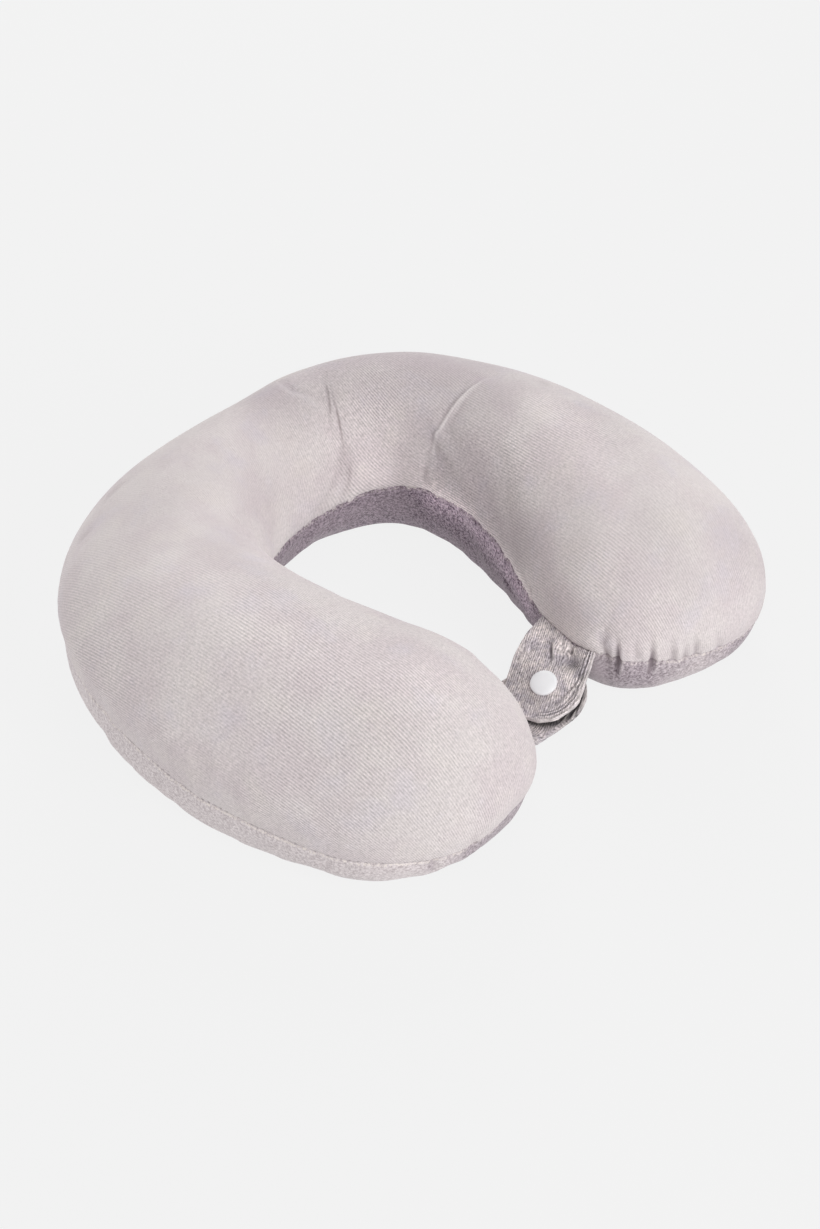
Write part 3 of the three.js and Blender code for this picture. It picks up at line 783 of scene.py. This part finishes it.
# Dark stitch holes lie in the seam, and light flecks of turned pile just under it.
holes = cover_velour.times(cover_velour.kept("along_seam"), STITCH_TURN)
holes = cover_velour.range(cover_velour.math("COSINE", holes), 0.2, 0.9)
off_line = cover_velour.math("ABSOLUTE", cover_velour.math("SUBTRACT", seam_off, 0.2))
holes = cover_velour.math("MULTIPLY_ADD", holes, 0.55, cover_velour.range(tufts, 0.40, 0.60, 0.0, 0.45))
holes = cover_velour.times(holes, cover_velour.range(off_line, 0.80, 0.25), open_seam)
colour = cover_velour.blend(cover_velour.times(holes, 0.65), colour, HOLE_DARK)
flecks = cover_velour.math("ABSOLUTE", cover_velour.plus(seam_off, 1.0))
flecks = cover_velour.range(flecks, 0.9, 0.4)
flecks = cover_velour.times(flecks, cover_velour.range(tufts, 0.46, 0.56), open_seam)
colour = cover_velour.blend(cover_velour.times(flecks, 0.7), colour, FLECK_LIGHT)

# Painted shade darkens the folds in the middle, and a painted highlight lightens the crest.
shade = cover_velour.times(cover_velour.range(cover_velour.kept("fold_shade_and_highlight"), 0.0, 1.0), 0.6)
deep = cover_velour.range(cover_velour.kept("fold_shade_and_highlight"), 0.35, 1.0, 0.0, 0.45)
colour = cover_velour.blend(cover_velour.plus(shade, deep), colour, FOLD_SHADE)
crest = cover_velour.times(cover_velour.range(cover_velour.kept("fold_shade_and_highlight"), 0.0, -1.0), 0.5)
colour = cover_velour.blend(crest, colour, CREST_HIGHLIGHT_TONE)
cover_velour.set(
    base_color=colour,
    roughness=0.95,
    normal=cover_velour.bump(pile, PILE_HEIGHT, 0.45),
    sheen_weight=0.25,
    sheen_roughness=0.5,
    sheen_tint=(1.0, 0.97, 0.96, 1),
    specular_ior_level=0.15,
)
cover.data.materials.append(cover_velour.material)
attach(cover, "root")
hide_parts("pillow")

# The two tabs.
# Each is two layers of the same velour, stitched face to face round the edge, turned and sewn into the seam.
# The snap holds the upper one, from the right arm, over the lower one, from the left arm.
TAB_GRAIN = 0.0005
TAB_SMOOTHING = 4
TAB_WIDTH = 0.036
TAB_VEER = math.radians(20)
SNAP_LEAN = math.radians(22)
SNAP_MIDDLE = Vector((0.0071, -0.0861, 0.0186))
# The tabs' small crumples, coarse and fine, each with its height, length and seed. They are longer along the
# tab, and the cap presses them flat.
TAB_CRUMPLES = ((0.00045, 0.0045, 5), (0.00016, 0.0016, 8))
CRUMPLE_STRETCH = 0.4
CAP_EDGE = 0.008
CAP_FADE = 0.003

snap_up = Vector((-math.sin(SNAP_LEAN), 0, math.cos(SNAP_LEAN)))
snap_ahead = Vector((-math.cos(TAB_VEER), -math.sin(TAB_VEER), 0))
snap_ahead = (snap_ahead - snap_up * snap_ahead.dot(snap_up)).normalized()
snap_across = snap_up.cross(snap_ahead)

# Folds of the tabs, each along places in millimetres ahead of the snap and to its right, on the top face.
TAB_FOLDS = {
    "tab_upper": [
        # the fold from the root to the cap, a short tuck beside it and the hollow below the tuck
        ([(-23, -3.6), (-16, -1.6), (-8.5, 0.5)], 0.7, 1.8, 0.6, 1, 0.5, 0.5),
        ([(-22, 6.6), (-19, 7.3), (-15, 7.8)], 0.7, 1.6, 0.3, 1, 0.3, 0.5),
        ([(-18, 5.5), (-14, 8.5), (-10, 14)], 2.4, 1.0, 0.2, 1, 0, 0.5),
        # two grooves that follow the right edge, drawn in by the stitches inside
        ([(-17, 16), (-7.3, 15.1), (-0.8, 13.2), (6, 9.7), (13.5, 5.8)], 0.6, 0.8, 0.3, 1, 0.35, 0.5),
        ([(-15, 17.6), (-7.6, 16.9), (0.5, 15.1), (7, 13.1), (13.6, 9)], 0.5, 0.6, 0.2, 1, 0.3, 0.5),
        # soft lines along the left edge
        ([(-24, -13.5), (-14, -14.8), (-4, -15.4), (4, -15.4)], 0.6, 0.4, 0.2, -1, 0.15, 0.4),
        ([(-22, -10), (-14, -11.5), (-5, -12)], 0.8, 0.4, 0.2, -1, 0.1, 0.4),
        ([(-24, 1.5), (-19, 3), (-14, 3.6)], 0.9, 0.5, 0.2, 1, 0.1, 0.3),
        ([(3, 12), (8, 8), (12, 2)], 0.9, 0.4, 0.2, 1, 0.1, 0.5),
    ],
    "tab_lower": [
        ([(22.5, 3.0), (16, 10.8), (5.5, 15), (-4, 16)], 0.6, 0.7, 0.3, -1, 0.35, 0.5),
        ([(20.5, 2.0), (14.5, 8.8), (5, 12.6), (-4, 13.8)], 0.6, 0.5, 0.2, -1, 0.3, 0.5),
    ],
}
# Spots of the tabs with painted shade or painted light, in the same places, with their reach and tone.
TAB_SHADES_AND_LIGHTS = {
    "tab_upper": [
        ((-11.6, 10.9), 4.0, -0.38),
        ((-4, -14), 6.0, -0.18),
        ((4, -13), 5.0, -0.20),
        ((8, -3), 6.0, -0.22),
        ((-19, -10), 7.0, 0.20),
        ((-20, 1.5), 4.0, 0.15),
        ((-4, 9), 4.5, 0.18),
        ((4, 12), 5.0, 0.12),
    ],
}
# The lower tab gets a painted shadow as far out as the upper one covers it, in millimetres from the snap.
TAB_COVERED = 20
COVERED_FADE = 4
COVERED_SHADOW = 0.85
# The rows of sewing draw in the cloth in a band along the right edge, all in millimetres.
EDGE_LINES_APART = 1.6
EDGE_BAND = 5.5
EDGE_BAND_FADE = 3
EDGE_SIDE_FADE = 8
# The tabs' top faces over the snap's middle, in millimetres.
TAB_TOPS = {"tab_upper": 1.7, "tab_lower": -6.4}

TAB_RIB_PITCH = 0.0010
TAB_DARK = (0.42, 0.378, 0.405, 1)
TAB_LIGHT = (0.665, 0.598, 0.590, 1)
RIM_LIGHT = (0.82, 0.75, 0.73, 1)
TAB_FOLD_SHADE = (0.12, 0.10, 0.12, 1)
TAB_CREST_HIGHLIGHT_TONE = (0.74, 0.69, 0.66, 1)

tab_velour = Finish("tab_velour")
dashes = tab_velour.noise(0.0009, detail=2, rough=0.7, at=tab_velour.cloth((1, 0.5, 1)))
specks = tab_velour.noise(0.0011, detail=3, rough=0.75, seed=9)
ribs = tab_velour.ribs(TAB_RIB_PITCH, 2.0)
pile = tab_velour.math("MULTIPLY_ADD", ribs, 0.35, tab_velour.plus(specks, dashes))
hollows = tab_velour.range(tab_velour.noise(0.007, detail=4, rough=0.65, seed=1), 0.40, 0.60)
nap = tab_velour.blend(hollows, TAB_DARK, TAB_LIGHT)
nap = tab_velour.scaled(nap, tab_velour.range(pile, 0.80, 1.55, 0.38, 1.62))
# Painted shade and light in spots, and the painted shadow under the upper tab.
nap = tab_velour.scaled(nap, tab_velour.plus(tab_velour.kept("painted_tab_shading"), 1.0))
wander = tab_velour.times(tab_velour.noise(0.004, detail=2, seed=4), 6.0)
drawn = tab_velour.math("MULTIPLY_ADD", tab_velour.kept("edge_in"), 2 * math.pi / EDGE_LINES_APART, wander)
drawn = tab_velour.times(tab_velour.math("SINE", drawn), tab_velour.kept("drawn_in"))
# The drawn-in rows look lighter and darker in turn, a painted highlight and painted shade on their ridges,
# which the bump also raises.
nap = tab_velour.scaled(nap, tab_velour.math("MULTIPLY_ADD", drawn, 0.50, 1.0))
# A painted highlight lightens the tab's rounded edge.
rim = tab_velour.times(tab_velour.range(tab_velour.kept("edge_in"), 1.1, 0.4), 0.4)
nap = tab_velour.blend(rim, nap, RIM_LIGHT)
# Painted shade in the tabs' folds, and a painted highlight on their crests.
shade = tab_velour.times(tab_velour.range(tab_velour.kept("fold_shade_and_highlight"), 0.0, 1.0), 0.85)
nap = tab_velour.blend(shade, nap, TAB_FOLD_SHADE)
crest = tab_velour.times(tab_velour.range(tab_velour.kept("fold_shade_and_highlight"), 0.0, -0.8), 0.7)
nap = tab_velour.blend(crest, nap, TAB_CREST_HIGHLIGHT_TONE)
tab_velour.set(
    base_color=nap,
    roughness=0.95,
    normal=tab_velour.bump(tab_velour.math("MULTIPLY_ADD", drawn, 0.8, pile), PILE_HEIGHT, 0.8),
    sheen_weight=0.25,
    sheen_roughness=0.5,
    specular_ior_level=0.15,
)

for node, folds in TAB_FOLDS.items():
    tab = copy_of_node(node, node + "_cloth")
    tab.data.remesh_voxel_size = TAB_GRAIN
    bpy.ops.object.voxel_remesh()
    move_corners(tab, averaged(tab, corner_places(tab), TAB_SMOOTHING))
    level = SNAP_MIDDLE + snap_up * TAB_TOPS[node] * MM
    skin = BVHTree.FromObject(tab, bpy.context.evaluated_depsgraph_get())
    lines = []
    for fold in folds:
        places = [level / MM + snap_ahead * ahead + snap_across * aside for ahead, aside in fold[0]]
        lines.append(skin_line(skin, places))
    keep_on_corners(tab, "fold_shade_and_highlight", press_folds(tab, folds, lines))
    places = corner_places(tab)
    normals = corner_normals(tab)
    for i, place in enumerate(places):
        offset = Vector(place) - SNAP_MIDDLE
        ahead = offset.dot(snap_ahead) * CRUMPLE_STRETCH
        along_tab = Vector((ahead, offset.dot(snap_across), offset.dot(snap_up)))
        past_cap = eased((offset.length - CAP_EDGE) / CAP_FADE)
        for size, length, seed in TAB_CRUMPLES:
            places[i] += normals[i] * size * past_cap * uneven(along_tab, length, seed)
    move_corners(tab, places)
    offsets = (places - np.array(SNAP_MIDDLE)) / MM
    ahead, aside = offsets @ np.array(snap_ahead), offsets @ np.array(snap_across)
    free = ahead if node == "tab_upper" else -ahead
    edge_in = TAB_WIDTH / 2 / MM - np.hypot(np.maximum(free, 0), aside)
    keep_on_corners(tab, "edge_in", edge_in)
    drawn_in = eased((aside + 1) / EDGE_SIDE_FADE) * eased((EDGE_BAND - edge_in) / EDGE_BAND_FADE)
    keep_on_corners(tab, "drawn_in", drawn_in)
    painted_tab_shading = np.zeros(len(places))
    for (there, beside), reach, tone in TAB_SHADES_AND_LIGHTS.get(node, ()):
        painted_tab_shading += tone * np.exp(-((ahead - there) ** 2 + (aside - beside) ** 2) / reach**2)
    if node == "tab_lower":
        painted_tab_shading -= COVERED_SHADOW * eased((TAB_COVERED - np.hypot(ahead, aside)) / COVERED_FADE)
    keep_on_corners(tab, "painted_tab_shading", painted_tab_shading)
    tab.data.uv_layers.new(name="cloth")
    for loop, uv in zip(tab.data.loops, tab.data.uv_layers.active.data):
        offset = Vector(places[loop.vertex_index]) - SNAP_MIDDLE
        uv.uv = (offset.dot(snap_across) + offset.dot(snap_up), offset.dot(snap_ahead))
    bpy.ops.object.shade_smooth()
    tab.data.materials.append(tab_velour.material)
    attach(tab, "root")
    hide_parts(node)

# The snap.
# White moulded acetal: a domed cap on the upper tab and its socket, stud and back cap under the cloth, each
# riveted through its tab by the pin of the cap.
PLASTIC_DULL = (0.83, 0.83, 0.85, 1)
PLASTIC_BRIGHT = (0.88, 0.88, 0.89, 1)

snap_plastic = Finish("snap_plastic")
snap_plastic.set(
    base_color=snap_plastic.blend(snap_plastic.noise(0.004, detail=2), PLASTIC_DULL, PLASTIC_BRIGHT),
    roughness=0.30,
    normal=snap_plastic.bump(snap_plastic.noise(0.0008), 0.00002, 0.4),
    specular_ior_level=0.5,
)
for node in ("snap_cap", "snap_socket", "snap_stud", "snap_back_cap"):
    part = frame["nodes"][node]
    for slot in part.material_slots:
        slot.material = snap_plastic.material

# The floor, the light and the camera.
# A pale studio floor, an even sky with light from below bounced by the floor, and four soft round lamps.
FLOOR_SIZE = 60
FLOOR_GLOW = 0.845
FLOOR_TONE = 0.04
SKY = 0.38
BOUNCE = 0.92
HORIZON_FADE = 0.2

bpy.ops.object.select_all(action="DESELECT")
bpy.ops.mesh.primitive_plane_add(size=FLOOR_SIZE)
floor = bpy.context.object
floor.name = "floor"
pale_floor = Finish("pale_floor")
pale_floor.set(
    base_color=(FLOOR_TONE, FLOOR_TONE, FLOOR_TONE, 1),
    roughness=1.0,
    specular_ior_level=0.0,
    emission_color=(1, 1, 1, 1),
    emission_strength=FLOOR_GLOW,
)
floor.data.materials.append(pale_floor.material)
floor.visible_diffuse = False
floor.visible_glossy = False

world = bpy.data.worlds.new("studio")
bpy.context.scene.world = world
world.use_nodes = True
tree = world.node_tree
way = tree.nodes.new("ShaderNodeTexCoord")
split = tree.nodes.new("ShaderNodeSeparateXYZ")
ramp = tree.nodes.new("ShaderNodeMapRange")
ramp.inputs["From Min"].default_value = -HORIZON_FADE
ramp.inputs["From Max"].default_value = HORIZON_FADE
ramp.inputs["To Min"].default_value = BOUNCE
ramp.inputs["To Max"].default_value = SKY
tree.links.new(way.outputs["Generated"], split.inputs[0])
tree.links.new(split.outputs["Z"], ramp.inputs["Value"])
tree.links.new(ramp.outputs[0], tree.nodes["Background"].inputs["Strength"])
tree.nodes["Background"].inputs["Color"].default_value = (1, 1, 1, 1)

LAMP_DISTANCE = 1.6
LAMP_SIZE = 0.9


def soft_lamp(name, azimuth, elevation, power):
    turn, rise = math.radians(azimuth), math.radians(elevation)
    away = Vector((math.sin(turn) * math.cos(rise), -math.cos(turn) * math.cos(rise), math.sin(rise)))
    bpy.ops.object.light_add(type="AREA", location=away * LAMP_DISTANCE)
    lamp = bpy.context.object
    lamp.name = name
    lamp.rotation_euler = away.to_track_quat("Z", "Y").to_euler()
    lamp.data.shape = "DISK"
    lamp.data.size = LAMP_SIZE
    lamp.data.energy = power


soft_lamp("front_lamp", 0, 31, 14.7)
soft_lamp("back_right_lamp", 135, 35, 10.9)
soft_lamp("back_left_lamp", 225, 12, 6.5)
soft_lamp("near_left_lamp", 315, 60, 3.8)

CAMERA_AZIMUTH = math.radians(-46.838)
CAMERA_ELEVATION = math.radians(43.336)
CAMERA_DISTANCE = 0.793905
CAMERA_TARGET = Vector((-0.017765, -0.026355, 0.041057))
CAMERA_LENS = 51.578
CAMERA_SENSOR = 36

away = Vector((
    math.sin(CAMERA_AZIMUTH) * math.cos(CAMERA_ELEVATION),
    -math.cos(CAMERA_AZIMUTH) * math.cos(CAMERA_ELEVATION),
    math.sin(CAMERA_ELEVATION),
))
bpy.ops.object.camera_add(location=CAMERA_TARGET + away * CAMERA_DISTANCE)
camera = bpy.context.object
camera.rotation_euler = away.to_track_quat("Z", "Y").to_euler()
camera.data.lens = CAMERA_LENS
camera.data.sensor_width = CAMERA_SENSOR
bpy.context.scene.camera = camera
bpy.context.scene.view_settings.view_transform = "Standard"
